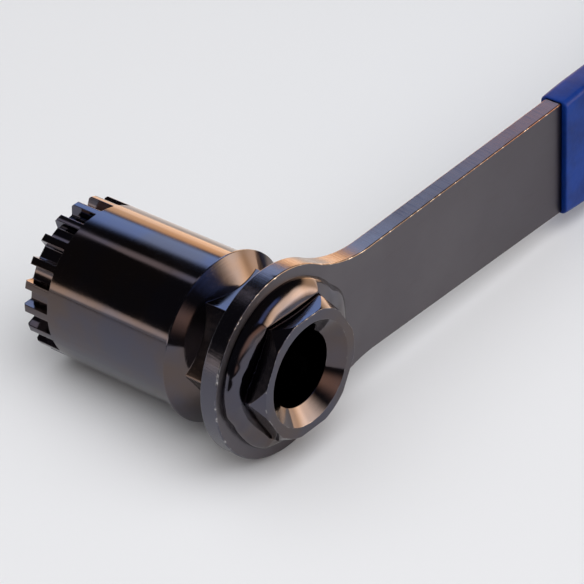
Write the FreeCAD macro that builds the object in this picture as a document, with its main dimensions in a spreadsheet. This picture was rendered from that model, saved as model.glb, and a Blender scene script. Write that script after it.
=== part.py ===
"""Bottom bracket tool: a splined socket welded into a flat handle with a dipped grip.

Millimetres, +Z up. The origin is on the tool axis, at the nose side of the handle plate.
+X runs along the handle towards the grip and +Y along the tool axis towards the splines.
"""
import FreeCAD
import Part
import Sketcher
import math
import os

doc = FreeCAD.newDocument("BottomBracketTool")

# Driving dimensions: name, value and what it measures

SIZES = [
    ("hex_flats", 25.0, "shank hexagon across flats"),
    ("nose_length", 6.55, "plate face to nose face"),
    ("shank_length", 10.7, "plate back to the flange rim's front edge"),
    ("nose_ring_radius", 12.95, "outer radius of the flat ring on the nose"),
    ("nose_chamfer_angle", 27.0, "chamfer on the hexagon's corners, from the tool axis"),
    ("nose_bore_radius", 7.75, "bolt bore through the nose"),
    ("countersink_radius", 10.8, "mouth of the nose countersink"),
    ("countersink_depth", 2.5, "depth of the nose countersink"),
    ("rim_radius", 17.35, "flange rim"),
    ("rim_width", 0.4, "cylindrical width of the flange rim"),
    ("rim_bevel", 0.1, "bevel on the rim's back edge"),
    ("cone_angle", 50.0, "flange cone, from the tool axis"),
    ("body_radius", 16.0, "round body and spline crests"),
    ("body_length", 37.5, "flange rim's back to the splined end"),
    ("end_bevel", 0.45, "bevel round the splined end"),
    ("cavity_radius", 11.5, "spindle cavity"),
    ("cavity_depth", 40.0, "splined end to the cavity's floor"),
    ("cavity_floor_angle", 59.0, "drilled floor cone, from the tool axis"),
    ("mouth_bevel", 0.6, "bevel at the cavity's mouth"),
    ("tooth_count", 20, "external splines"),
    ("tooth_crest", 1.5, "width of a spline at its crest"),
    ("groove_depth", 2.4, "crest to groove floor"),
    ("groove_length", 6.4, "length of a spline groove at its floor"),
    ("groove_flank", 12.0, "slope of a groove's side"),
    ("spline_turn", -1.5, "turn of the splines from the handle's direction"),
    ("plate_thickness", 3.8, "handle plate"),
    ("eye_radius", 19.5, "round eye of the plate"),
    ("eye_clearance", 0.05, "gap between the shank's flats and the eye's hole"),
    ("neck_radius", 28.0, "fillet between the eye and the bar"),
    ("mouth_width", 25.95, "bar width where the grip begins"),
    ("bar_flare", 1.2, "slope of each edge of the bar from its middle line"),
    ("bar_turn", 0.5, "turn of the bar's middle line from the hexagon's corner"),
    ("handle_length", 205.0, "tool axis to the bar's end"),
    ("bar_corner", 9.0, "corner radius at the bar's end"),
    ("edge_break", 0.25, "sheared edges of the plate, rounded"),
    ("bead_leg", 3.0, "weld bead's leg on the plate"),
    ("bead_rise", 2.5, "weld bead's leg on the shank"),
    ("bead_crown", 2.3, "rounding of the weld bead"),
    ("bead_corner", 6.0, "radius of the bead round the hexagon's corners"),
    ("grip_start", 88.7, "tool axis to the grip's mouth"),
    ("vinyl", 1.4, "wall of the dipped grip on the bar's faces and end"),
    ("vinyl_side", 0.8, "wall of the dipped grip on the bar's long edges"),
    ("grip_rounding", 1.0, "rounding along the grip's edges"),
]

sheet = doc.addObject("Spreadsheet::Sheet", "Size")
for row, (alias, number, meaning) in enumerate(SIZES, start=1):
    sheet.set("A%d" % row, alias)
    sheet.set("B%d" % row, str(number))
    sheet.set("C%d" % row, meaning)
    sheet.setAlias("B%d" % row, alias)
doc.recompute()

# Stations along the tool axis and derived sizes, as expressions on the sheet

NOSE = "(-Size.nose_length)"
RIM_FRONT = "(Size.plate_thickness + Size.shank_length)"
RIM_BACK = "(Size.plate_thickness + Size.shank_length + Size.rim_width)"
SPLINE_END = "(Size.plate_thickness + Size.shank_length + Size.rim_width + Size.body_length)"
HEX_CORNER = "(Size.hex_flats / sqrt(3))"
CONE_ROOT = "(0.45 * Size.hex_flats)"
CONE_ROOT_STATION = "(%s - (Size.rim_radius - %s) / tan(Size.cone_angle))" % (RIM_FRONT, CONE_ROOT)
CAVITY_FLOOR = "(%s - Size.cavity_depth)" % SPLINE_END
FLOOR_CONE = "((Size.cavity_radius - Size.nose_bore_radius) / tan(Size.cavity_floor_angle))"
BAR_END = "Size.handle_length"
GRIP_END = "(Size.handle_length + Size.vinyl)"


def half_bar(station):
    """Half the bar's width at a distance along the handle, as an expression."""
    return "(Size.mouth_width / 2 + (%s - Size.grip_start) * tan(Size.bar_flare))" % station


def bar_top(station):
    """Height of the bar's upper edge at a distance along the handle, as an expression."""
    return "(%s * tan(Size.bar_turn) + %s)" % (station, half_bar(station))


def bar_bottom(station):
    """Height of the bar's lower edge at a distance along the handle, as an expression."""
    return "(%s * tan(Size.bar_turn) - %s)" % (station, half_bar(station))


def value(expression):
    """Present value of an expression on the sheet, as a plain number."""
    result = sheet.evalExpression(expression)
    return float(getattr(result, "Value", result))


def new_body(label):
    """Sub-part body whose label is its node's name."""
    body = doc.addObject("PartDesign::Body", label)
    body.Label = label
    body.Placement = FreeCAD.Placement()
    return body


def new_sketch(body, name, role, lift="0"):
    """Sketch on one of the body's origin planes, lifted along the plane's normal."""
    sketch = body.newObject("Sketcher::SketchObject", name)
    plane = next(item for item in body.Origin.OriginFeatures if item.Role == role)
    sketch.AttachmentSupport = [(plane, "")]
    sketch.MapMode = "FlatFace"
    sketch.setExpression(".AttachmentOffset.Base.z", lift)
    return sketch


def bind(sketch, name, constraint, expression):
    """Add a dimension to the sketch and tie it to the sheet."""
    index = sketch.addConstraint(constraint)
    sketch.renameConstraint(index, name)
    sketch.setExpression("Constraints." + name, expression)


def draw_outline(sketch, corners):
    """Closed outline of straight edges through corners given as pairs of expressions."""
    points = [FreeCAD.Vector(value(x), value(y), 0) for x, y in corners]
    count = len(points)
    for i in range(count):
        sketch.addGeometry(Part.LineSegment(points[i], points[(i + 1) % count]))
    for i in range(count):
        sketch.addConstraint(Sketcher.Constraint("Coincident", i, 2, (i + 1) % count, 1))
    for i, (x, y) in enumerate(corners):
        for kind, axis, expression in (("DistanceX", -2, x), ("DistanceY", -1, y)):
            if expression == "0":
                sketch.addConstraint(Sketcher.Constraint("PointOnObject", i, 1, axis))
            else:
                number = value(expression)
                constraint = Sketcher.Constraint(kind, -1, 1, i, 1, number)
                bind(sketch, "%s%d" % (kind, i), constraint, expression)


def draw_hexagon(sketch, corner_radius):
    """Regular hexagon about the sketch's origin with one corner on the handle's line."""
    radius = value(corner_radius)
    points = []
    for i in range(6):
        angle = i * math.pi / 3
        points.append(FreeCAD.Vector(radius * math.cos(angle), radius * math.sin(angle), 0))
    for i in range(6):
        sketch.addGeometry(Part.LineSegment(points[i], points[(i + 1) % 6]))
    circle = sketch.addGeometry(Part.Circle(FreeCAD.Vector(), FreeCAD.Vector(0, 0, 1), radius), True)
    sketch.addConstraint(Sketcher.Constraint("Coincident", circle, 3, -1, 1))
    for i in range(6):
        sketch.addConstraint(Sketcher.Constraint("Coincident", i, 2, (i + 1) % 6, 1))
        sketch.addConstraint(Sketcher.Constraint("PointOnObject", i, 1, circle))
    for i in range(5):
        sketch.addConstraint(Sketcher.Constraint("Equal", i, i + 1))
    sketch.addConstraint(Sketcher.Constraint("PointOnObject", 0, 1, -1))
    bind(sketch, "CornerRadius", Sketcher.Constraint("Radius", circle, radius), corner_radius)


def draw_circle(sketch, radius):
    """Circle about the sketch's origin."""
    number = value(radius)
    circle = sketch.addGeometry(Part.Circle(FreeCAD.Vector(), FreeCAD.Vector(0, 0, 1), number))
    sketch.addConstraint(Sketcher.Constraint("Coincident", circle, 3, -1, 1))
    bind(sketch, "CircleRadius", Sketcher.Constraint("Radius", circle, number), radius)


def extrude(body, kind, name, sketch, length, towards_splines=True):
    """Pad or Pocket of a sketch along the tool axis; the sketch's normal is towards the nose."""
    feature = body.newObject("PartDesign::" + kind, name)
    feature.Profile = sketch
    feature.Reversed = towards_splines == (kind == "Pad")
    feature.setExpression("Length", length)
    sketch.Visibility = False
    return feature


def turn(body, kind, name, sketch):
    """Revolution or Groove of a sketch about the tool axis."""
    feature = body.newObject("PartDesign::" + kind, name)
    feature.Profile = sketch
    feature.ReferenceAxis = (sketch, ["V_Axis"])
    feature.Angle = 360.0
    sketch.Visibility = False
    return feature


def edges_where(feature, test):
    """Names of the feature's edges that pass a test on the edge."""
    names = []
    for index, edge in enumerate(feature.Shape.Edges, start=1):
        if test(edge):
            names.append("Edge%d" % index)
    return names


def round_edges(body, name, base, test, radius):
    """Fillet on the edges of the base feature that pass the test."""
    doc.recompute()
    feature = body.newObject("PartDesign::Fillet", name)
    feature.Base = (base, edges_where(base, test))
    feature.setExpression("Radius", radius)
    return feature


def along_axis(edge):
    """Whether an edge is straight and runs along the tool axis."""
    ends = [vertex.Point for vertex in edge.Vertexes]
    if len(ends) != 2 or not isinstance(edge.Curve, Part.Line):
        return False
    run = ends[1] - ends[0]
    return abs(run.y) > 0.99 * run.Length


def in_plane(edge, station):
    """Whether a whole edge lies in the plane across the tool axis at a station."""
    box = edge.BoundBox
    tolerance = 1e-4
    return abs(box.YMin - station) < tolerance and abs(box.YMax - station) < tolerance


def at_station(edge, station):
    """Whether an edge lies at a distance along the handle, given as an expression."""
    return abs(edge.CenterOfMass.x - value(station)) < 1e-4


def make_spline_socket():
    """Socket: hexagon shank and nose, coned flange, round body, stepped bore and splines."""
    body = new_body("spline_socket")

    shank = new_sketch(body, "ShankHexagon", "XZ_Plane", "Size.nose_length")
    draw_hexagon(shank, HEX_CORNER)
    extrude(body, "Pad", "Shank", shank, "%s - %s" % (RIM_FRONT, NOSE))

    turned = new_sketch(body, "TurnedProfile", "XY_Plane")
    draw_outline(turned, [
        ("0", CONE_ROOT_STATION),
        (CONE_ROOT, CONE_ROOT_STATION),
        ("Size.rim_radius", RIM_FRONT),
        ("Size.rim_radius", "%s - Size.rim_bevel" % RIM_BACK),
        ("Size.rim_radius - Size.rim_bevel", RIM_BACK),
        ("Size.body_radius", RIM_BACK),
        ("Size.body_radius", "%s - Size.end_bevel" % SPLINE_END),
        ("Size.body_radius - Size.end_bevel", SPLINE_END),
        ("0", SPLINE_END),
    ])
    turn(body, "Revolution", "FlangeAndBody", turned)

    corners = new_sketch(body, "NoseChamferProfile", "XY_Plane")
    reach = "(%s + 1 - Size.nose_ring_radius)" % HEX_CORNER
    draw_outline(corners, [
        ("Size.nose_ring_radius", NOSE),
        ("%s + 1" % HEX_CORNER, NOSE),
        ("%s + 1" % HEX_CORNER, "%s + %s / tan(Size.nose_chamfer_angle)" % (NOSE, reach)),
    ])
    turn(body, "Groove", "NoseChamfer", corners)

    bore = new_sketch(body, "BoreProfile", "XY_Plane")
    draw_outline(bore, [
        ("0", NOSE),
        ("Size.countersink_radius", NOSE),
        ("Size.nose_bore_radius", "%s + Size.countersink_depth" % NOSE),
        ("Size.nose_bore_radius", "%s - %s" % (CAVITY_FLOOR, FLOOR_CONE)),
        ("Size.cavity_radius", CAVITY_FLOOR),
        ("Size.cavity_radius", "%s - Size.mouth_bevel" % SPLINE_END),
        ("Size.cavity_radius + Size.mouth_bevel", SPLINE_END),
        ("0", SPLINE_END),
    ])
    turn(body, "Groove", "SteppedBore", bore)
    doc.recompute()
    before = body.Shape.Volume

    cutter_mouth = "(pi * Size.body_radius / Size.tooth_count - Size.tooth_crest / 2)"
    floor = "(Size.body_radius - Size.groove_depth)"
    beyond = "(Size.body_radius + 1)"
    half_floor = "(%s - Size.groove_depth * tan(Size.groove_flank))" % cutter_mouth
    half_beyond = "(%s + tan(Size.groove_flank))" % cutter_mouth
    section = new_sketch(body, "GrooveSection", "XZ_Plane", "-%s" % SPLINE_END)
    draw_outline(section, [
        (floor, "-" + half_floor),
        (beyond, "-" + half_beyond),
        (beyond, half_beyond),
        (floor, half_floor),
    ])
    section.setExpression(".AttachmentOffset.Rotation.Angle", "Size.spline_turn + 180 / Size.tooth_count")
    groove = extrude(body, "Pocket", "SplineGroove", section, "Size.groove_length", False)
    doc.recompute()

    pattern = body.newObject("PartDesign::PolarPattern", "Splines")
    pattern.Originals = [groove]
    pattern.Axis = (turned, ["V_Axis"])
    pattern.Angle = 360.0
    pattern.setExpression("Occurrences", "Size.tooth_count")
    body.Tip = pattern
    doc.recompute()
    removed = before - body.Shape.Volume
    one = before - groove.Shape.Volume
    if abs(removed - value("Size.tooth_count") * one) > 0.02 * removed:
        raise RuntimeError("the spline grooves are not all cut")
    return body


def make_handle_plate():
    """Flat plate: round eye with a hexagon hole, neck fillets and a bar that flares slightly."""
    body = new_body("handle_plate")

    eye = new_sketch(body, "EyeCircle", "XZ_Plane")
    draw_circle(eye, "Size.eye_radius")
    extrude(body, "Pad", "Eye", eye, "Size.plate_thickness")

    bar = new_sketch(body, "BarOutline", "XZ_Plane")
    draw_outline(bar, [
        ("0", bar_bottom("0")),
        (BAR_END, bar_bottom(BAR_END)),
        (BAR_END, bar_top(BAR_END)),
        ("0", bar_top("0")),
    ])
    straight = extrude(body, "Pad", "Bar", bar, "Size.plate_thickness")
    middle = value("Size.handle_length") / 2

    neck = round_edges(body, "NeckFillets", straight,
                       lambda edge: along_axis(edge) and edge.CenterOfMass.x < middle,
                       "Size.neck_radius")
    ends = round_edges(body, "BarCorners", neck,
                       lambda edge: along_axis(edge) and edge.CenterOfMass.x > middle,
                       "Size.bar_corner")
    back = value("Size.plate_thickness")
    broken = round_edges(body, "EdgeBreak", ends,
                         lambda edge: in_plane(edge, 0.0) or in_plane(edge, back),
                         "Size.edge_break")

    hole = new_sketch(body, "ShankHole", "XZ_Plane")
    draw_hexagon(hole, "(Size.hex_flats + 2 * Size.eye_clearance) / sqrt(3)")
    extrude(body, "Pocket", "HexagonHole", hole, "Size.plate_thickness")
    doc.recompute()
    if body.Shape.Volume > broken.Shape.Volume - 1:
        raise RuntimeError("the eye's hexagon hole is not cut")
    return body


def make_weld_bead():
    """Fillet weld between the plate's face and the shank: a rounded hexagon with a convex crown."""
    body = new_body("weld_bead")

    outline = new_sketch(body, "BeadOutline", "XZ_Plane")
    draw_hexagon(outline, "(Size.hex_flats + 2 * Size.bead_leg) / sqrt(3)")
    bead = extrude(body, "Pad", "Bead", outline, "Size.bead_rise", False)
    rounded = round_edges(body, "BeadCorners", bead, along_axis, "Size.bead_corner")
    crest = -value("Size.bead_rise")
    round_edges(body, "BeadCrown", rounded, lambda edge: in_plane(edge, crest), "Size.bead_crown")

    hole = new_sketch(body, "BeadHole", "XZ_Plane", "Size.bead_rise")
    draw_hexagon(hole, HEX_CORNER)
    extrude(body, "Pocket", "ShankPassage", hole, "Size.bead_rise")
    return body


def make_grip_sleeve():
    """Dipped grip: a closed sleeve round the bar's end, open at its mouth."""
    body = new_body("grip_sleeve")

    outer = new_sketch(body, "GripOutline", "XZ_Plane", "Size.vinyl")
    draw_outline(outer, [
        ("Size.grip_start", "%s - Size.vinyl_side" % bar_bottom("Size.grip_start")),
        (GRIP_END, "%s - Size.vinyl_side" % bar_bottom(GRIP_END)),
        (GRIP_END, "%s + Size.vinyl_side" % bar_top(GRIP_END)),
        ("Size.grip_start", "%s + Size.vinyl_side" % bar_top("Size.grip_start")),
    ])
    extrude(body, "Pad", "GripBody", outer, "Size.plate_thickness + 2 * Size.vinyl")

    inner = new_sketch(body, "BarPocket", "XZ_Plane")
    lead = "(Size.grip_start - 1)"
    draw_outline(inner, [
        (lead, bar_bottom(lead)),
        (BAR_END, bar_bottom(BAR_END)),
        (BAR_END, bar_top(BAR_END)),
        (lead, bar_top(lead)),
    ])
    space = extrude(body, "Pocket", "BarSpace", inner, "Size.plate_thickness")
    inner_corners = round_edges(body, "PocketCorners", space,
                                lambda edge: along_axis(edge) and at_station(edge, BAR_END),
                                "Size.bar_corner")
    outer_corners = round_edges(body, "GripCorners", inner_corners,
                                lambda edge: along_axis(edge) and at_station(edge, GRIP_END),
                                "Size.bar_corner + Size.vinyl_side")
    front = -value("Size.vinyl")
    back = value("Size.plate_thickness + Size.vinyl")
    round_edges(body, "GripRounding", outer_corners,
                lambda edge: in_plane(edge, front) or in_plane(edge, back),
                "Size.grip_rounding")
    return body


def check_and_export(bodies):
    """Stop on any failed object or bad shape, then write each sub-part to parts/NODE.step."""
    doc.recompute()
    for item in doc.Objects:
        if "Invalid" in item.State or "Error" in item.State:
            raise RuntimeError("%s is in state %s" % (item.Name, item.State))
    for body in bodies:
        shape = body.Shape
        if shape.isNull() or not shape.isValid() or len(shape.Solids) != 1:
            raise RuntimeError("%s is not one valid solid" % body.Label)
    os.makedirs("parts", exist_ok=True)
    for body in bodies:
        body.Shape.exportStep("parts/%s.step" % body.Label)
        print(body.Label, "volume", round(body.Shape.Volume, 1), "box", body.Shape.BoundBox)


check_and_export([
    make_spline_socket(),
    make_handle_plate(),
    make_weld_bead(),
    make_grip_sleeve(),
])
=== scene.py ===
"""Bottom bracket tool: splined socket, welded flat handle and dipped grip, dressed round the frame.

Metres in the scene. Sizes in the classes are millimetres and become metres when a mesh is made.
The origin is on the tool axis at the plate's nose face; +X runs along the handle to the grip,
+Y along the tool axis to the splines and +Z up.
"""
import logging
import math
from contextlib import contextmanager
from dataclasses import dataclass
from enum import Enum
from typing import Any, Iterable, Iterator, Sequence

import bmesh
import bpy
from mathutils import Matrix, Vector

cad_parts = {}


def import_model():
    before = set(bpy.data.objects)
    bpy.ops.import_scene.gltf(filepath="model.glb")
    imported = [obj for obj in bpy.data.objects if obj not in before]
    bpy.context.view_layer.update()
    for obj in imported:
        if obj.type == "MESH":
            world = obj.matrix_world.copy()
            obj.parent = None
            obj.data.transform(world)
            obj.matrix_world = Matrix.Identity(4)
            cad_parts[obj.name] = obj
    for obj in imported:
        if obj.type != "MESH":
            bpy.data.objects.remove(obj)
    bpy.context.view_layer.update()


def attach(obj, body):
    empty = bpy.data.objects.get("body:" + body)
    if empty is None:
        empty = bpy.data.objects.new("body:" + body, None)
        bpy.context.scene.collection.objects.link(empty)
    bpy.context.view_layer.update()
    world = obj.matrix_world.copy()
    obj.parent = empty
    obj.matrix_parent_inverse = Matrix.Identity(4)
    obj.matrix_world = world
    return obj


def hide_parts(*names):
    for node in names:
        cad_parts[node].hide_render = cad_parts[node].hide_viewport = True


MM = 0.001
MERGE = 1e-6
SHARPEST_TURN = 3.0
LEAST_SETBACK = 0.02
LEG_SHARE = 0.4
HOLD_SHARE = 0.2
LOG = logging.getLogger("bottom_bracket_tool")

Point = tuple[float, float]
Colour = tuple[float, float, float]
Ground = tuple[Vector, Vector]


class Slot(Enum):
    """Material slots of the record."""

    SOCKET = "socket_plating"
    PLATE = "plate_plating"
    BEAD = "bead_plating"
    GRIP = "grip_vinyl"


class Reach(Enum):
    """What a lamp's light reaches."""

    EVERYTHING = "everything"
    TOOL = "tool pieces only"
    SHADING = "everything but reflections"


class Signal:
    """A node's output socket that can be used in sums."""

    def __init__(self, bench: "NodeBench", socket: bpy.types.NodeSocket) -> None:
        """Wrap an output socket of the bench's tree."""
        self.bench = bench
        self.socket = socket

    def _math(self, operation: str, *terms: Any) -> "Signal":
        """Result of one Math node, fed by signals or numbers in order."""
        inputs = dict(enumerate(terms))
        return self.bench.add("ShaderNodeMath", {"operation": operation}, inputs).out(0)

    def __add__(self, other: Any) -> "Signal":
        """Sum."""
        return self._math("ADD", self, other)

    __radd__ = __add__

    def __sub__(self, other: Any) -> "Signal":
        """Difference."""
        return self._math("SUBTRACT", self, other)

    def __rsub__(self, other: Any) -> "Signal":
        """Difference from a number."""
        return self._math("SUBTRACT", other, self)

    def __mul__(self, other: Any) -> "Signal":
        """Product."""
        return self._math("MULTIPLY", self, other)

    __rmul__ = __mul__

    def __truediv__(self, other: Any) -> "Signal":
        """Quotient."""
        return self._math("DIVIDE", self, other)

    def ramp(self, low: float, high: float) -> "Signal":
        """Smooth step from 0 at the low value to 1 at the high value."""
        settings = {"interpolation_type": "SMOOTHSTEP"}
        values = {"Value": self, "From Min": low, "From Max": high, "To Min": 0.0, "To Max": 1.0}
        return self.bench.add("ShaderNodeMapRange", settings, values).out("Result")


class NodeHandle:
    """A node on a bench, with its outputs as signals."""

    def __init__(self, bench: "NodeBench", node: bpy.types.Node) -> None:
        """Keep the node and its bench."""
        self.bench = bench
        self.node = node

    def out(self, key: int | str) -> Signal:
        """Output socket by place, identifier or name."""
        return Signal(self.bench, self.bench.find(self.node.outputs, key))


class NodeBench:
    """Builds the nodes of one tree."""

    def __init__(self, tree: bpy.types.NodeTree) -> None:
        """Start from an emptied tree."""
        self.tree = tree
        tree.nodes.clear()

    @staticmethod
    def find(sockets: Any, key: int | str) -> bpy.types.NodeSocket:
        """Find a socket.

        Args:
            sockets: A node's inputs or outputs.
            key: Place, identifier or name.

        Returns:
            The socket.
        """
        if isinstance(key, int):
            return sockets[key]
        for socket in sockets:
            if socket.identifier == key:
                return socket
        for socket in sockets:
            if socket.name == key and socket.enabled:
                return socket
        raise KeyError(key)

    def add(self, kind: str, settings: dict[str, Any] | None = None,
            inputs: dict[int | str, Any] | None = None) -> NodeHandle:
        """Add a node, set it and feed it.

        Args:
            kind: Node's type name.
            settings: Properties set first.
            inputs: Values or signals by socket place, identifier or name.

        Returns:
            The node.
        """
        node = self.tree.nodes.new(kind)
        for name, setting in (settings or {}).items():
            setattr(node, name, setting)
        for key, value in (inputs or {}).items():
            socket = self.find(node.inputs, key)
            if isinstance(value, Signal):
                self.tree.links.new(value.socket, socket)
            else:
                socket.default_value = value
        return NodeHandle(self, node)

    def blend(self, mask: Any, first: Any, second: Any) -> Signal:
        """Mix of two colours or signals: a mask of 0 gives the first and 1 the second."""
        colours = [item if isinstance(item, Signal) else (*item, 1.0) for item in (first, second)]
        inputs = {"Factor_Float": mask, "A_Color": colours[0], "B_Color": colours[1]}
        return self.add("ShaderNodeMix", {"data_type": "RGBA"}, inputs).out("Result_Color")

    def noise(self, place: Signal, scale: float, detail: float = 2.0,
              roughness: float = 0.5) -> Signal:
        """Noise between about 0.2 and 0.8 at a place; its scale is in cells a metre."""
        inputs = {"Vector": place, "Scale": scale, "Detail": detail, "Roughness": roughness}
        return self.add("ShaderNodeTexNoise", {}, inputs).out(0)

    def stretched(self, place: Signal, scale: Sequence[float],
                  turn: Sequence[float] = (0.0, 0.0, 0.0)) -> Signal:
        """Place vector turned and scaled by a Mapping node."""
        inputs = {"Vector": place, "Scale": tuple(scale), "Rotation": tuple(turn)}
        return self.add("ShaderNodeMapping", {}, inputs).out(0)

    def axis(self, place: Signal, name: str) -> Signal:
        """One axis of a vector."""
        return self.add("ShaderNodeSeparateXYZ", {}, {0: place}).out(name)

    def attribute(self, name: str) -> Signal:
        """Value of a mesh attribute."""
        return self.add("ShaderNodeAttribute", {"attribute_name": name}).out("Fac")

    def object_place(self) -> Signal:
        """Object coordinates."""
        return self.add("ShaderNodeTexCoord").out("Object")


def shader_bench(name: str) -> tuple[bpy.types.Material, NodeBench]:
    """Make a material and the bench of its tree."""
    material = bpy.data.materials.new(name)
    material.use_nodes = True
    return material, NodeBench(material.node_tree)


def close_surface(bench: NodeBench, surface: dict[str, Any],
                  heights: Sequence[tuple[Signal, float, float]]) -> None:
    """Finish a material: a Principled shader with a chain of bumps.

    Args:
        bench: Bench of the material.
        surface: Values and signals of the shader's sockets.
        heights: Height, strength and depth in metres of each bump.
    """
    normal: Signal | None = None
    for height, strength, depth in heights:
        inputs: dict[int | str, Any] = {"Strength": strength, "Distance": depth, "Height": height}
        if normal is not None:
            inputs["Normal"] = normal
        normal = bench.add("ShaderNodeBump", {}, inputs).out("Normal")
    if normal is not None:
        surface = {**surface, "Normal": normal}
    shader = bench.add("ShaderNodeBsdfPrincipled", {}, surface).out("BSDF")
    bench.add("ShaderNodeOutputMaterial", {"target": "ALL"}, {"Surface": shader})


@dataclass(frozen=True)
class DarkPlating:
    """Smooth black plating on turned steel, with a faint brown cast in places."""

    name: str
    cool: Colour = (0.082, 0.080, 0.102)
    brown: Colour = (0.104, 0.082, 0.076)
    worn: Colour = (0.42, 0.40, 0.39)
    gloss: float = 0.07
    haze: float = 0.08
    turning: float = 0.12

    def material(self) -> bpy.types.Material:
        """Build the material.

        Returns:
            The material.
        """
        material, bench = shader_bench(self.name)
        place = bench.object_place()
        clouds = bench.noise(place, 55.0, 3.0, 0.55)
        specks = bench.noise(place, 1500.0, 2.0, 0.6)
        smears = bench.noise(bench.stretched(place, (1.0, 0.25, 1.0)), 240.0, 3.0, 0.6)
        rings = bench.noise(bench.stretched(place, (0.02, 1.0, 0.02)), 5200.0, 2.0, 0.7)
        edge = bench.attribute("edge")
        chipped = edge * bench.noise(place, 900.0, 3.0, 0.7).ramp(0.50, 0.66)
        tone = bench.blend(clouds.ramp(0.38, 0.66), self.cool, self.brown)
        colour = bench.blend(chipped * 0.75, tone, self.worn)
        roughness = smears.ramp(0.35, 0.75) * self.haze + specks.ramp(0.55, 0.8) * 0.05 + self.gloss
        close_surface(bench, {
            "Base Color": colour,
            "Metallic": 1.0,
            "Roughness": roughness,
        }, [
            (rings, self.turning, 0.00002),
            (specks, 0.05, 0.00003),
        ])
        return material


@dataclass(frozen=True)
class PlateFinish:
    """Satin dark plating on the sheared bar, with slanted shear lines and nicks on its edges."""

    name: str
    face: Colour = (0.121, 0.112, 0.123)
    shade: Colour = (0.106, 0.098, 0.110)
    edge_eye_reflection_tint: Colour = (0.090, 0.088, 0.108)
    edge_neck_reflection_tint: Colour = (0.150, 0.118, 0.104)
    edge_near_reflection_tint: Colour = (0.112, 0.084, 0.072)
    edge_far_reflection_tint: Colour = (0.152, 0.080, 0.058)
    groove: Colour = (0.052, 0.042, 0.046)
    painted_grip_shade: Colour = (0.086, 0.078, 0.088)
    worn: Colour = (0.50, 0.48, 0.47)
    face_roughness: float = 0.34
    edge_roughness: float = 0.17

    def material(self) -> bpy.types.Material:
        """Build the material.

        Returns:
            The material.
        """
        material, bench = shader_bench(self.name)
        place = bench.object_place()
        rim = bench.attribute("rim")
        edge = bench.attribute("edge")
        run = bench.attribute("run")
        across = bench.axis(place, "Y")
        slanted = bench.add("ShaderNodeCombineXYZ", {}, {
            "X": run * 2600.0 + across * 260.0,
            "Y": across * 90.0,
        }).out(0)
        shear = bench.noise(slanted, 1.0, 3.0, 0.65)
        clouds = bench.noise(place, 45.0, 3.0, 0.55)
        grain = bench.noise(place, 2600.0, 2.0, 0.6)
        lean = bench.stretched(place, (0.35, 1.0, 1.0), (0.0, 0.6, 0.0))
        scuffs = bench.noise(lean, 420.0, 3.0, 0.65)
        along = bench.axis(place, "X")
        face = bench.blend(clouds.ramp(0.35, 0.68), self.face, self.shade)
        # Painted shade: the face darkens towards the grip, standing in for the darker reflection it catches
        # there; the metal itself is the same all along.
        face = bench.blend(along.ramp(0.035, 0.100), face, self.painted_grip_shade)
        # Painted reflection: the cut edge's colour changes along the handle, cool at the eye, tan at the
        # neck, browner and then orange towards the grip, copying the light the edge catches in each place
        # rather than any change in the metal.
        cut = bench.blend(along.ramp(-0.012, 0.006), self.edge_eye_reflection_tint, self.edge_neck_reflection_tint)
        cut = bench.blend(along.ramp(0.028, 0.040), cut, self.edge_near_reflection_tint)
        cut = bench.blend(along.ramp(0.045, 0.085), cut, self.edge_far_reflection_tint)
        cut = bench.blend(shear.ramp(0.50, 0.68) * along.ramp(0.026, 0.036) * 0.75, cut, self.groove)
        tone = bench.blend(rim, face, cut)
        chipped = edge * bench.noise(place, 700.0, 3.0, 0.7).ramp(0.52, 0.66) * 0.7
        colour = bench.blend(chipped + bench.attribute("nick"), tone, self.worn)
        roughness = self.face_roughness + scuffs.ramp(0.5, 0.78) * 0.07 + clouds.ramp(0.3, 0.7) * 0.04
        roughness = roughness - rim * (self.face_roughness - self.edge_roughness)
        close_surface(bench, {
            "Base Color": colour,
            "Metallic": 1.0,
            "Roughness": roughness,
        }, [
            (shear * rim, 0.45, 0.00008),
            (grain, 0.12, 0.00003),
        ])
        return material


@dataclass(frozen=True)
class DippedVinyl:
    """Blue dipped vinyl: a soft sheen over a slightly mottled skin."""

    name: str
    blue: Colour = (0.003, 0.028, 0.188)
    deep: Colour = (0.002, 0.017, 0.120)
    dusty: Colour = (0.030, 0.054, 0.205)
    roughness: float = 0.38

    def material(self) -> bpy.types.Material:
        """Build the material.

        Returns:
            The material.
        """
        material, bench = shader_bench(self.name)
        place = bench.object_place()
        clouds = bench.noise(place, 130.0, 4.0, 0.6)
        dimples = bench.noise(place, 700.0, 2.0, 0.5)
        pores = bench.noise(place, 2800.0, 2.0, 0.6)
        dust = bench.noise(place, 190.0, 5.0, 0.7).ramp(0.52, 0.75)
        tone = bench.blend(clouds.ramp(0.35, 0.68), self.blue, self.deep)
        colour = bench.blend(dust * 0.35, tone, self.dusty)
        close_surface(bench, {
            "Base Color": colour,
            "Metallic": 0.0,
            "Roughness": dust * 0.14 + pores.ramp(0.4, 0.7) * 0.06 + self.roughness,
            "IOR": 1.45,
            "Specular IOR Level": 0.14,
        }, [
            (dimples, 0.16, 0.00025),
            (pores, 0.14, 0.00005),
        ])
        return material


def turned(angle: float, radius: float) -> Point:
    """Point at an angle in degrees and a radius."""
    return radius * math.cos(math.radians(angle)), radius * math.sin(math.radians(angle))


def eased(low: float, high: float, value: float) -> float:
    """Smooth step of a value between two limits."""
    t = min(1.0, max(0.0, (value - low) / (high - low)))
    return t * t * (3.0 - 2.0 * t)


def ring_point(angle: float, radius: float, station: float) -> Vector:
    """Point round the tool axis at a station along it."""
    x, z = turned(angle, radius)
    return Vector((x, station, z))


def put_in_scene(name: str, data: bpy.types.ID) -> bpy.types.Object:
    """Make an object of some data and link it to the scene."""
    item = bpy.data.objects.new(name, data)
    bpy.context.scene.collection.objects.link(item)
    return item


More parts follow.
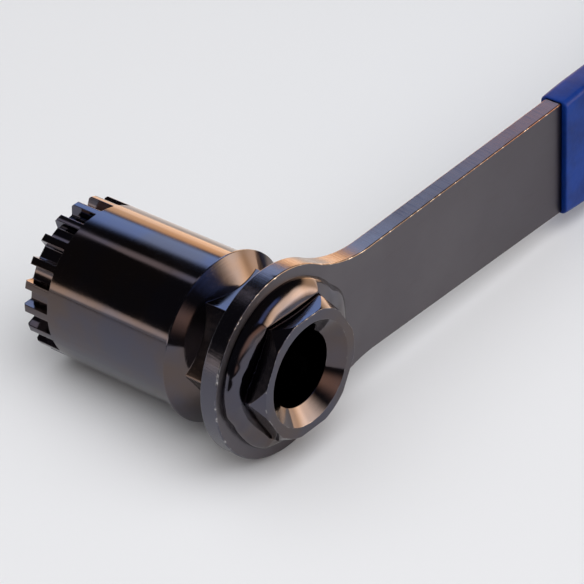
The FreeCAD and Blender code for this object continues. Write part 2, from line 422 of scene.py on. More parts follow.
def between(first: Point, second: Point, t: float) -> Point:
    """Point part of the way from one point to another."""
    return first[0] + (second[0] - first[0]) * t, first[1] + (second[1] - first[1]) * t


@dataclass(frozen=True)
class Corner:
    """A corner of a section: where it is, how it is rounded and how the leg after it is cut up."""

    x: float
    y: float
    rounding: float = 0.1
    leg: int = 0
    edge: float = 0.0


@dataclass(frozen=True)
class Sample:
    """A point of a rounded section and how much of a worn edge it is."""

    x: float
    y: float
    edge: float


def round_section(corners: Sequence[Corner], steps: int = 3, guard: float = 0.04) -> list[Sample]:
    """Round the corners of a closed section.

    Args:
        corners: Corners in order.
        steps: Faces across each rounding.
        guard: Distance of the extra point that holds the flat beside each rounding.

    Returns:
        Points of the section; their number depends only on the corners' number, legs and steps.
    """
    arcs: list[list[Sample]] = []
    count = len(corners)
    for i, corner in enumerate(corners):
        here = Vector((corner.x, corner.y))
        legs: list[tuple[Vector, float]] = []
        for other in (corners[i - 1], corners[(i + 1) % count]):
            leg = Vector((other.x, other.y)) - here
            legs.append((leg.normalized() if leg.length > 1e-9 else Vector((1.0, 0.0)), leg.length))
        (back, back_length), (ahead, ahead_length) = legs
        turn = math.pi - back.angle(ahead, math.pi)
        half = math.tan(turn / 2.0) if turn < SHARPEST_TURN else 1.0
        shorter = min(back_length, ahead_length)
        setback = min(max(corner.rounding * half, LEAST_SETBACK), LEG_SHARE * shorter)
        hold = min(guard, HOLD_SHARE * shorter)
        start, end = here + back * setback, here + ahead * setback
        weight = math.cos(turn / 2.0)
        points = [start + back * hold]
        for step in range(steps + 1):
            t = step / steps
            terms = ((1 - t) ** 2, 2 * weight * t * (1 - t), t ** 2)
            points.append((start * terms[0] + here * terms[1] + end * terms[2]) / sum(terms))
        points.append(end + ahead * hold)
        edges = [0.0] + [corner.edge] * (steps + 1) + [0.0]
        arcs.append([Sample(point.x, point.y, edge) for point, edge in zip(points, edges)])
    section: list[Sample] = []
    for i, corner in enumerate(corners):
        section.extend(arcs[i])
        last, following = arcs[i][-1], arcs[(i + 1) % count][0]
        for k in range(corner.leg):
            x, y = between((last.x, last.y), (following.x, following.y), (k + 1) / (corner.leg + 1))
            section.append(Sample(x, y, 0.0))
    return section


class MeshWork:
    """Makes mesh objects from points in millimetres."""

    @staticmethod
    def grid(name: str, columns: Sequence[Sequence[Vector]], close_rows: bool,
             close_columns: bool, attributes: dict[str, Sequence[Sequence[float]]]) -> bpy.types.Object:
        """Make a mesh from columns of points.

        Args:
            name: Object's name.
            columns: Points of each column, the same number in each.
            close_rows: Whether the last point of a column joins its first.
            close_columns: Whether the last column joins the first.
            attributes: Values at the points, in the columns' order.

        Returns:
            The object.
        """
        tall, wide = len(columns[0]), len(columns)
        points = [point * MM for column in columns for point in column]
        faces = []
        for i in range(wide if close_columns else wide - 1):
            for j in range(tall if close_rows else tall - 1):
                a, b = i, (i + 1) % wide
                c, d = j, (j + 1) % tall
                faces.append((a * tall + c, b * tall + c, b * tall + d, a * tall + d))
        mesh = bpy.data.meshes.new(name)
        mesh.from_pydata(points, [], faces)
        for key, values in attributes.items():
            layer = mesh.attributes.new(key, "FLOAT", "POINT")
            flat = [value for column in values for value in column]
            layer.data.foreach_set("value", flat)
        mesh.shade_smooth()
        return put_in_scene(name, mesh)

    @staticmethod
    @contextmanager
    def edited(piece: bpy.types.Object) -> Iterator[bmesh.types.BMesh]:
        """Open a piece's mesh for changes and write it back at the end."""
        work = bmesh.new()
        work.from_mesh(piece.data)
        yield work
        work.to_mesh(piece.data)
        work.free()

    @staticmethod
    def settle(piece: bpy.types.Object) -> None:
        """Merge a closed piece's doubles and turn its faces outwards."""
        with MeshWork.edited(piece) as work:
            bmesh.ops.remove_doubles(work, verts=work.verts, dist=MERGE)
            bmesh.ops.recalc_face_normals(work, faces=work.faces)

    @staticmethod
    def bake_modifiers(piece: bpy.types.Object) -> None:
        """Replace a piece's mesh by its evaluated mesh and drop its modifiers."""
        evaluated = piece.evaluated_get(bpy.context.evaluated_depsgraph_get())
        mesh = bpy.data.meshes.new_from_object(evaluated)
        piece.modifiers.clear()
        piece.data = mesh

    @staticmethod
    def dress(piece: bpy.types.Object, material: bpy.types.Material, slot: Slot, node: str) -> None:
        """Give a piece its material and its body, and hide the CAD node that it stands for."""
        piece.data.materials.clear()
        piece.data.materials.append(material)
        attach(piece, "root")
        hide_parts(node)
        LOG.info("%s: %d faces, for node %s", piece.name, len(piece.data.polygons), node)


class GeometryTree:
    """A geometry node tree with named inputs, run once on a piece."""

    def __init__(self, name: str) -> None:
        """Make the tree with its geometry input and output."""
        self.tree = bpy.data.node_groups.new(name, "GeometryNodeTree")
        self.bench = NodeBench(self.tree)
        self.values: dict[str, Any] = {}
        self._socket("Geometry", "NodeSocketGeometry", "INPUT")
        self._socket("Geometry", "NodeSocketGeometry", "OUTPUT")

    def _socket(self, name: str, kind: str, way: str) -> bpy.types.NodeTreeInterfaceSocket:
        """Add a socket to the tree's face."""
        return self.tree.interface.new_socket(name, in_out=way, socket_type=kind)

    def declare(self, name: str, kind: str, value: Any) -> None:
        """Add a named input of a socket type, with the value that the modifier gives it."""
        socket = self._socket(name, kind, "INPUT")
        self.values[socket.identifier] = value

    def inputs(self) -> NodeHandle:
        """The tree's input node."""
        return self.bench.add("NodeGroupInput")

    def finish(self, geometry: Signal, material: bpy.types.Material) -> None:
        """End the tree in Realize Instances and Set Material.

        Args:
            geometry: Result so far.
            material: Material of the result.
        """
        real = self.bench.add("GeometryNodeRealizeInstances", {}, {"Geometry": geometry}).out(0)
        dressed = self.bench.add("GeometryNodeSetMaterial", {}, {"Geometry": real}).out(0)
        dressed.socket.node.inputs["Material"].default_value = material
        self.bench.add("NodeGroupOutput", {}, {"Geometry": dressed})

    def run(self, piece: bpy.types.Object) -> None:
        """Run the tree on a piece and keep the result as its plain mesh."""
        modifier = piece.modifiers.new(self.tree.name, "NODES")
        modifier.node_group = self.tree
        for identifier, value in self.values.items():
            modifier[identifier] = value
        MeshWork.bake_modifiers(piece)


@dataclass
class SplineSocket:
    """Socket: hexagon shank and nose, coned flange, round body, stepped bore and splines."""

    finish: DarkPlating
    hex_flats: float = 25.0
    hex_rounding: float = 0.35
    nose: float = -6.55
    nose_ring: float = 12.95
    nose_chamfer: float = 27.0
    bore: float = 7.75
    countersink: float = 10.8
    countersink_depth: float = 2.5
    rim: float = 17.35
    rim_front: float = 14.5
    rim_back: float = 14.9
    rim_bevel: float = 0.1
    cone: float = 50.0
    body: float = 16.0
    end: float = 52.4
    end_bevel: float = 0.45
    cavity: float = 11.5
    cavity_floor: float = 12.4
    floor_cone: float = 59.0
    mouth_bevel: float = 0.6
    teeth: int = 20
    groove_mouth: float = 1.763
    groove_depth: float = 2.4
    groove_length: float = 6.4
    groove_flank: float = 12.0
    spline_turn: float = -1.5
    side_columns: int = 60
    tooth_columns: int = 18
    blend_margin: float = 1.0
    splines_lead: float = 0.4
    end_ring: float = 0.6

    def hexagon_points(self) -> list[Point]:
        """Points round the rounded hexagon, from the corner on the handle's line.

        Returns:
            The points as X and Z, side_columns of them on each side.
        """
        arc_centre = (self.hex_flats / 2 - self.hex_rounding) / math.cos(math.radians(30))
        points = []
        for side in range(6):
            corner = 60.0 * side
            here, there = turned(corner, arc_centre), turned(corner + 60, arc_centre)
            for lean in (0, 10, 20, 30):
                reach = turned(corner + lean, self.hex_rounding)
                points.append((here[0] + reach[0], here[1] + reach[1]))
            offset = turned(corner + 30, self.hex_rounding)
            # A side's roundings have seven points, which leaves its flat this many parts
            flat = self.side_columns - 6
            for k in range(1, flat):
                x, y = between(here, there, k / flat)
                points.append((x + offset[0], y + offset[1]))
            for lean in (30, 40, 50):
                reach = turned(corner + lean, self.hex_rounding)
                points.append((there[0] + reach[0], there[1] + reach[1]))
        return points

    def tooth_points(self) -> list[Point]:
        """Section of one spline pitch, from a crest's middle to the next.

        Returns:
            Angle from the first crest in degrees and radius of each point.
        """
        half_pitch = 180.0 / self.teeth
        slope = math.tan(math.radians(self.groove_flank))
        half_floor = self.groove_mouth - self.groove_depth * slope
        floor = self.body - self.groove_depth
        reach = floor
        for _ in range(40):
            reach = math.sqrt(self.body ** 2 - (half_floor + (reach - floor) * slope) ** 2)
        mouth = half_floor + (reach - floor) * slope
        crest_edge = half_pitch - math.degrees(math.atan2(mouth, reach))

        def polar(x: float, y: float) -> Point:
            """Groove coordinates to an angle from the crest's middle and a radius."""
            return half_pitch - math.degrees(math.atan2(y, x)), math.hypot(x, y)

        # Points a little before and after each sharp edge, so that it is eased; offsets in millimetres
        half = [
            (0.0, self.body),
            (crest_edge - 0.45, self.body),
            (crest_edge - 0.10, self.body - 0.012),
            polar(reach - 0.06, mouth - 0.02),
            polar(reach - 0.22, mouth - 0.22 * slope),
            polar(reach - 1.2, mouth - 1.2 * slope),
            polar(floor + 0.22, half_floor + 0.22 * slope),
            polar(floor + 0.06, half_floor - 0.04),
            polar(floor, half_floor - 0.26),
            (half_pitch, floor),
        ]
        back = [(2 * half_pitch - angle, radius) for angle, radius in half[-2:0:-1]]
        return half + back

    def section(self, hexagon: float, tooth: float) -> list[Corner]:
        """Corners of the socket's section in one column.

        Args:
            hexagon: Shank's radius in the column.
            tooth: Radius of the splined end in the column.

        Returns:
            Corners as radius and station, round the closed section.
        """
        chamfer = max(0.25, (hexagon - self.nose_ring) / math.tan(math.radians(self.nose_chamfer)))
        ring = min(hexagon - 0.02, self.nose_ring)
        cone_root = self.rim_front - (self.rim - hexagon) / math.tan(math.radians(self.cone))
        groove = self.end - self.groove_length
        bevelled = min(tooth, self.body - self.end_bevel)
        floor_rise = (self.cavity - self.bore) / math.tan(math.radians(self.floor_cone))
        return [
            Corner(self.countersink, self.nose, 0.12, 1, 0.6),
            Corner(ring, self.nose, 0.16, 1, 1.0),
            Corner(hexagon, self.nose + chamfer, 0.10, 3, 0.6),
            Corner(hexagon, cone_root, 0.25, 4),
            Corner(self.rim, self.rim_front, 0.10, 1, 0.6),
            Corner(self.rim, self.rim_back - self.rim_bevel, 0.04, 0, 0.5),
            Corner(self.rim - self.rim_bevel, self.rim_back, 0.04, 0, 0.3),
            Corner(self.body, self.rim_back, 0.15, 14),
            Corner(self.body, groove - 0.05, 0.08),
            Corner(tooth, groove + 0.12, 0.20, 2),
            Corner(tooth, self.end - self.end_bevel, 0.08, 0, 0.6),
            Corner(bevelled, self.end, 0.08, 2, 0.8),
            Corner(self.cavity + self.mouth_bevel, self.end, 0.08, 0, 0.6),
            Corner(self.cavity, self.end - self.mouth_bevel, 0.08, 14),
            Corner(self.cavity, self.cavity_floor, 0.4, 2),
            Corner(self.bore, self.cavity_floor - floor_rise, 0.1, 5),
            Corner(self.bore, self.nose + self.countersink_depth, 0.10, 1, 0.5),
        ]

    def columns(self) -> tuple[list[list[Vector]], list[list[float]]]:
        """Points of the whole socket.

        Returns:
            Columns of points, and the worn edge value at each point.
        """
        pitch = self.tooth_points()
        points, edges = [], []
        for column, (x, z) in enumerate(self.hexagon_points()):
            hex_angle = math.degrees(math.atan2(z, x)) % 360.0
            step, place = divmod(column, self.tooth_columns)
            tooth_angle, tooth_radius = pitch[place]
            tooth_angle += self.spline_turn + step * 360.0 / self.teeth
            samples = round_section(self.section(math.hypot(x, z), tooth_radius))
            line = []
            for sample in samples:
                share = eased(self.rim_back + self.blend_margin,
                              self.end - self.groove_length - self.blend_margin, sample.y)
                angle = hex_angle + (tooth_angle - hex_angle) * share
                line.append(ring_point(angle, sample.x, sample.y))
            points.append(line)
            edges.append([sample.edge for sample in samples])
        return points, edges

    def splines_tree(self, tooth: bpy.types.Object, material: bpy.types.Material) -> GeometryTree:
        """Tree that sets one pitch of the splined end round the axis and joins it to the blank.

        Args:
            tooth: Object with one pitch of the splined end.
            material: Finish of the result.

        Returns:
            The tree, ready to run on the blank.
        """
        tree = GeometryTree("splines_round_the_socket")
        tree.declare("Tooth", "NodeSocketObject", tooth)
        tree.declare("Tooth Count", "NodeSocketInt", self.teeth)
        tree.declare("Weld Distance", "NodeSocketFloat", 0.002 * MM)
        bench, given = tree.bench, tree.inputs()
        points = bench.add("GeometryNodePoints", {}, {"Count": given.out("Tooth Count")}).out(0)
        index = bench.add("GeometryNodeInputIndex").out(0)
        turn = index * (-2.0 * math.pi) / given.out("Tooth Count")
        rotation = bench.add("ShaderNodeCombineXYZ", {}, {"Y": turn}).out(0)
        source = bench.add("GeometryNodeObjectInfo", {}, {"Object": given.out("Tooth")}).out("Geometry")
        ring = bench.add("GeometryNodeInstanceOnPoints", {}, {
            "Points": points, "Instance": source, "Rotation": rotation,
        }).out(0)
        real = bench.add("GeometryNodeRealizeInstances", {}, {"Geometry": ring}).out(0)
        join = bench.add("GeometryNodeJoinGeometry")
        for part in (given.out("Geometry"), real):
            tree.tree.links.new(part.socket, join.node.inputs[0])
        whole = bench.add("GeometryNodeMergeByDistance", {}, {
            "Geometry": join.out(0), "Distance": given.out("Weld Distance"),
        }).out(0)
        tree.finish(whole, material)
        return tree

    def build(self) -> bpy.types.Object:
        """Build and dress the socket.

        Returns:
            The socket.
        """
        material = self.finish.material()
        points, edges = self.columns()
        stations = [point.y for point in points[0]]
        outside = [Vector((p.x, p.z)).length for p in points[0]]
        splines_start = self.end - self.groove_length - self.splines_lead
        inside = self.cavity + self.mouth_bevel + self.end_ring
        first = next(i for i, y in enumerate(stations) if y > splines_start)
        last = next(i for i, r in enumerate(outside) if i > first and r < inside)
        blank_points = [line[last:] + line[:first + 1] for line in points]
        blank_edges = [line[last:] + line[:first + 1] for line in edges]
        blank = MeshWork.grid("socket", blank_points, False, True, {"edge": blank_edges})
        pitch = slice(0, self.tooth_columns + 1)
        tooth_points = [line[first:last + 1] for line in points[pitch]]
        tooth_edges = [line[first:last + 1] for line in edges[pitch]]
        tooth = MeshWork.grid("one_spline", tooth_points, False, False, {"edge": tooth_edges})
        self.splines_tree(tooth, material).run(blank)
        bpy.data.objects.remove(tooth)
        MeshWork.settle(blank)
        blank.data.shade_smooth()
        MeshWork.dress(blank, material, Slot.SOCKET, "spline_socket")
        return blank


@dataclass(frozen=True)
class Nick:
    """A small chip in the plate's front edge, by its angle round the eye."""

    angle: float
    length: float
    depth: float


@dataclass
class HandlePlate:
    """Flat plate: round eye with a hexagon hole, neck fillets and a bar that flares slightly."""

    finish: PlateFinish
    thickness: float = 3.8
    eye: float = 19.5
    neck: float = 28.0
    mouth_width: float = 25.95
    grip_start: float = 88.7
    flare: float = 1.2
    turn: float = 0.5
    length: float = 205.0
    corner: float = 9.0
    edge_break: float = 0.25
    hole_flats: float = 25.04
    hold: float = 0.06
    back_wear: float = 0.15
    rim_share: float = 0.7
    chip_margin: float = 0.5
    chip_reach: float = 0.6
    chip_paint: float = 8.0
    corner_steps: int = 14
    bar_steps: int = 90
    neck_steps: int = 40
    eye_steps: int = 150
    hole_steps: int = 8
    nicks: tuple[Nick, ...] = (
        Nick(131.0, 0.7, 0.14), Nick(128.0, 0.9, 0.18), Nick(124.5, 0.6, 0.14), Nick(108.0, 0.7, 0.08),
        Nick(93.0, 0.9, 0.12), Nick(163.0, 0.8, 0.10), Nick(205.0, 0.9, 0.10),
    )

    def middle(self, x: float) -> float:
        """Height of the bar's middle line at a distance along the handle."""
        return x * math.tan(math.radians(self.turn))

    def half_bar(self, x: float) -> float:
        """Half the bar's width at a distance along the handle."""
        return self.mouth_width / 2 + (x - self.grip_start) * math.tan(math.radians(self.flare))

    def half_outline(self, side: float) -> list[Point]:
        """One side of the plate's outline, from the bar's end to the eye's far side.

        Args:
            side: 1 for the upper side and -1 for the lower side.

        Returns:
            Points as X and distance to that side.
        """
        lean = math.atan(math.tan(math.radians(self.flare)) + side * math.tan(math.radians(self.turn)))
        slope = math.degrees(lean)
        points: list[Point] = []
        bend = self.length - self.corner
        centre = (bend, self.half_bar(bend) + side * self.middle(bend) - self.corner / math.cos(lean))
        for k in range(self.corner_steps + 1):
            x, z = turned((90.0 + slope) * k / self.corner_steps, self.corner)
            points.append((centre[0] + x, centre[1] + z))
        rise = self.half_bar(0.0) * math.cos(lean) + self.neck
        along = math.sqrt((self.eye + self.neck) ** 2 - rise ** 2)
        hub = (math.cos(lean) * along - math.sin(lean) * rise,
               math.cos(lean) * rise + math.sin(lean) * along)
        foot = (hub[0] + math.sin(lean) * self.neck, hub[1] - math.cos(lean) * self.neck)
        start = points[-1]
        points.extend(between(start, foot, k / self.bar_steps) for k in range(1, self.bar_steps))
        tangent = math.degrees(math.atan2(hub[1], hub[0]))
        sweep = 90.0 + slope - tangent
        for k in range(self.neck_steps + 1):
            x, z = turned(270.0 + slope - sweep * k / self.neck_steps, self.neck)
            points.append((hub[0] + x, hub[1] + z))
        for k in range(1, self.eye_steps + 1):
            points.append(turned(tangent + (180.0 - tangent) * k / self.eye_steps, self.eye))
        return points

    def outline(self) -> list[Point]:
        """Whole outline, counterclockwise from the upper end of the bar's end line."""
        lower = [(x, -z) for x, z in reversed(self.half_outline(-1.0)[:-1])]
        return self.half_outline(1.0) + lower

    def rows(self) -> list[tuple[float, float, float]]:
        """Inset, station and edge value of each row across the plate's edge."""
        r, t = self.edge_break, self.thickness
        front = [(r + self.hold, 0.0, 0.0)]
        for k in range(5):
            angle = math.radians(22.5 * k)
            front.append((r - r * math.sin(angle), r - r * math.cos(angle), 1.0))
        front.append((0.0, r + self.hold, 0.0))
        middle = [(0.0, t * k / 5, 0.0) for k in range(1, 5)]
        back = [(inset, t - y, edge * self.back_wear) for inset, y, edge in reversed(front)]
        return front + middle + back

    def chip(self, point: Point, y: float) -> float:
        """Depth of the nicks at a point of the outline.

        Args:
            point: Outline point as X and Z.
            y: Station of the row.

        Returns:
            Inset that the nicks add.
        """
        if math.hypot(*point) > self.eye + self.chip_margin or y > self.chip_reach:
            return 0.0
        angle = math.degrees(math.atan2(point[1], point[0])) % 360.0
        depth = 0.0
        for nick in self.nicks:
            apart = math.radians(abs(angle - nick.angle)) * self.eye / (nick.length / 2)
            if apart < 1.0:
                depth += nick.depth * (1.0 - apart * apart) * (1.0 - y / self.chip_reach)
        return depth

    def build(self) -> bpy.types.Object:
        """Build and dress the plate.

        Returns:
            The plate.
        """
        outline = self.outline()
        count = len(outline)
        rows = self.rows()
        columns, edges, rims, runs, nicks = [], [], [], [], []
        run = 0.0
        for i, (x, z) in enumerate(outline):
            before, after = outline[i - 1], outline[(i + 1) % count]
            out = Vector((after[1] - before[1], before[0] - after[0])).normalized()
            run += math.hypot(x - before[0], z - before[1]) if i else 0.0
            line = []
            for inset, y, _ in rows:
                deep = inset + self.chip((x, z), y)
                line.append(Vector((x - out.x * deep, y, z - out.y * deep)))
            columns.append(line)
            edges.append([edge for _, _, edge in rows])
            rims.append([1.0 if inset < self.edge_break * self.rim_share else 0.0 for inset, _, _ in rows])
            runs.append([run * MM] * len(rows))
            nicks.append([min(1.0, self.chip_paint * self.chip((x, z), y)) if edge else 0.0
                          for _, y, edge in rows])
        layers = {"edge": edges, "rim": rims, "run": runs, "nick": nicks}
        plate = MeshWork.grid("plate", columns, False, True, layers)
        self.close_faces(plate)
        MeshWork.settle(plate)
        MeshWork.dress(plate, self.finish.material(), Slot.PLATE, "handle_plate")
        return plate

    def close_faces(self, plate: bpy.types.Object) -> None:
        """Fill the plate's two faces round the hexagon hole and line the hole.

        Args:
            plate: Object with the outer edge band.
        """
        around = 6 * self.hole_steps
        corner = self.hole_flats / math.sqrt(3)
        with MeshWork.edited(plate) as work:
            hole: list[list[bmesh.types.BMVert]] = []
            for y in (0.0, self.thickness):
                ring = []
                for k in range(around):
                    side, step = divmod(k, self.hole_steps)
                    ends = turned(60.0 * side, corner), turned(60.0 * side + 60.0, corner)
                    x, z = between(*ends, step / self.hole_steps)
                    ring.append(work.verts.new(Vector((x, y, z)) * MM))
                hole.append(ring)
            for k in range(around):
                n = (k + 1) % around
                work.faces.new((hole[0][k], hole[0][n], hole[1][n], hole[1][k]))
            work.edges.ensure_lookup_table()
            for y in (0.0, self.thickness):
                level = y * MM
                rim = [edge for edge in work.edges if len(edge.link_faces) == 1
                       and all(abs(vert.co.y - level) < MERGE / 10 for vert in edge.verts)]
                filled = bmesh.ops.triangle_fill(work, use_beauty=True, use_dissolve=False, edges=rim)
                for item in filled["geom"]:
                    if isinstance(item, bmesh.types.BMFace):
                        item.smooth = False


@dataclass(frozen=True)
class BeadStation:
    """Shape of the weld at one angle round the shank."""

    angle: float
    toe: float
    rise: float
    seat: float
    fullness: float


@dataclass
class WeldBead:
    """Fillet weld round the shank on the plate's face: a fat roll on top, flatter low down."""

    finish: DarkPlating
    hex_flats: float = 25.0
    columns_round: int = 360
    groove: float = 0.6
    corner_rise: float = 0.35
    ripple: float = 0.07
    ripple_scale: float = 190.0
    seed: float = 4.0
    sunk_edge: float = 0.12
    under: float = 0.06
    toe_tuck: float = 0.02
    corner_cut: float = 0.05
    groove_steps: int = 8
    roll_steps: int = 18
    stations: tuple[BeadStation, ...] = (
        BeadStation(0.0, 17.9, 2.1, 1.7, 2.0),
        BeadStation(20.0, 18.5, 2.4, 1.8, 1.9),
        BeadStation(38.0, 17.3, 2.9, 2.2, 1.8),
        BeadStation(61.0, 17.1, 3.3, 2.6, 1.75),
        BeadStation(90.0, 17.1, 3.4, 2.6, 1.7),
        BeadStation(114.0, 17.2, 3.3, 2.5, 1.75),
        BeadStation(136.0, 17.4, 2.9, 2.1, 1.85),
        BeadStation(150.0, 17.5, 2.7, 2.0, 2.0),
        BeadStation(160.0, 17.6, 2.5, 1.9, 2.5),
        BeadStation(172.0, 17.8, 2.3, 1.9, 3.2),
        BeadStation(186.0, 17.7, 2.3, 2.1, 3.6),
        BeadStation(200.0, 16.8, 2.3, 2.0, 3.6),
        BeadStation(214.0, 16.7, 2.2, 2.0, 3.4),
        BeadStation(236.0, 17.0, 2.3, 2.0, 3.0),
        BeadStation(262.0, 16.6, 2.4, 2.0, 2.4),
        BeadStation(300.0, 16.9, 2.5, 2.0, 2.2),
        BeadStation(332.0, 16.8, 2.3, 1.8, 2.2),
    )

    def at(self, angle: float) -> BeadStation:
        """Shape of the weld between its stations.

        Args:
            angle: Angle round the shank in degrees.

        Returns:
            Shape blended from the stations on both sides.
        """
        ring = self.stations
        count = len(ring)
        i = max(k for k in range(count) if ring[k].angle <= angle)
        here, there = ring[i], ring[(i + 1) % count]
        gap = (there.angle - here.angle) % 360.0
        t = eased(0.0, gap, angle - here.angle)
        mixed = [getattr(here, key) * (1 - t) + getattr(there, key) * t
                 for key in ("toe", "rise", "seat", "fullness")]
        return BeadStation(angle, *mixed)

    def hexagon_radius(self, angle: float) -> float:
        """Shank's radius at an angle in degrees, with its corners eased."""
        lean = math.radians((angle % 60.0) - 30.0)
        return min(self.hex_flats / 2 / math.cos(lean), self.hex_flats / math.sqrt(3) - self.corner_cut)

    def line(self, angle: float) -> list[Vector]:
        """Points of the weld's section at an angle.

        Args:
            angle: Angle round the shank in degrees.

        Returns:
            Closed section's points.
        """
        shape = self.at(angle)
        radius = self.hexagon_radius(angle)
        base = self.hex_flats / 2
        span = shape.toe - base
        corner = (radius - base) / (self.hex_flats / math.sqrt(3) - base)
        rise = shape.rise + self.corner_rise * corner ** 2
        sunk = shape.rise - shape.seat

        def height(r: float) -> float:
            """Roll's height at a radius, with its groove beside the shank."""
            t = min(1.0, max(0.0, (r - base) / span))
            near = max(0.0, 1.0 - (r - radius) / self.groove)
            return rise * (1.0 - t ** shape.fullness) ** (1.0 / shape.fullness) - sunk * near ** 2

        start = radius + self.groove
        first = math.asin(min(1.0, (start - base) / span))
        inner = radius - self.sunk_edge
        reaches = [radius + self.groove * k / self.groove_steps for k in range(self.groove_steps)]
        for k in range(self.roll_steps):
            reaches.append(base + span * math.sin(first + (math.pi / 2 - first) * k / self.roll_steps))
        profile: list[Point] = [(inner, self.under), (inner, -height(radius))]
        profile += [(r, -height(r)) for r in reaches]
        profile += [(shape.toe, 0.0), (shape.toe - self.toe_tuck, self.under)]
        return [ring_point(angle, r, y) for r, y in profile]

    def ripple_tree(self, material: bpy.types.Material) -> GeometryTree:
        """Tree that gives the smooth weld its uneven run.

        Args:
            material: Finish of the result.

        Returns:
            The tree, ready to run on the weld.
        """
        tree = GeometryTree("weld_ripples")
        tree.declare("Ripple Height", "NodeSocketFloat", self.ripple * MM)
        tree.declare("Ripple Scale", "NodeSocketFloat", self.ripple_scale)
        tree.declare("Seed", "NodeSocketFloat", self.seed)
        bench, given = tree.bench, tree.inputs()
        place = bench.add("GeometryNodeInputPosition").out(0)
        normal = bench.add("GeometryNodeInputNormal").out(0)
        wave = bench.add("ShaderNodeTexNoise", {"noise_dimensions": "4D"}, {
            "Vector": place, "W": given.out("Seed"), "Scale": given.out("Ripple Scale"),
            "Detail": 1.5, "Roughness": 0.45,
        }).out(0)
        height = bench.axis(place, "Y")
        free = (height * -1.0).ramp(0.15 * MM, 0.9 * MM)
        amount = (wave - 0.5) * 2.0 * given.out("Ripple Height") * free
        shift = bench.add("ShaderNodeVectorMath", {"operation": "SCALE"},
                          {"Vector": normal, "Scale": amount}).out("Vector")
        moved = bench.add("GeometryNodeSetPosition", {}, {
            "Geometry": given.out("Geometry"), "Offset": shift,
        }).out(0)
        tree.finish(moved, material)
        return tree

    def build(self) -> bpy.types.Object:
        """Build and dress the weld.

        Returns:
            The weld bead.
        """
        material = self.finish.material()
        lines = [self.line(360.0 * k / self.columns_round) for k in range(self.columns_round)]
        bead = MeshWork.grid("weld", lines, True, True, {})
        MeshWork.settle(bead)
        self.ripple_tree(material).run(bead)
        bead.data.shade_smooth()
        MeshWork.dress(bead, material, Slot.BEAD, "weld_bead")
        return bead


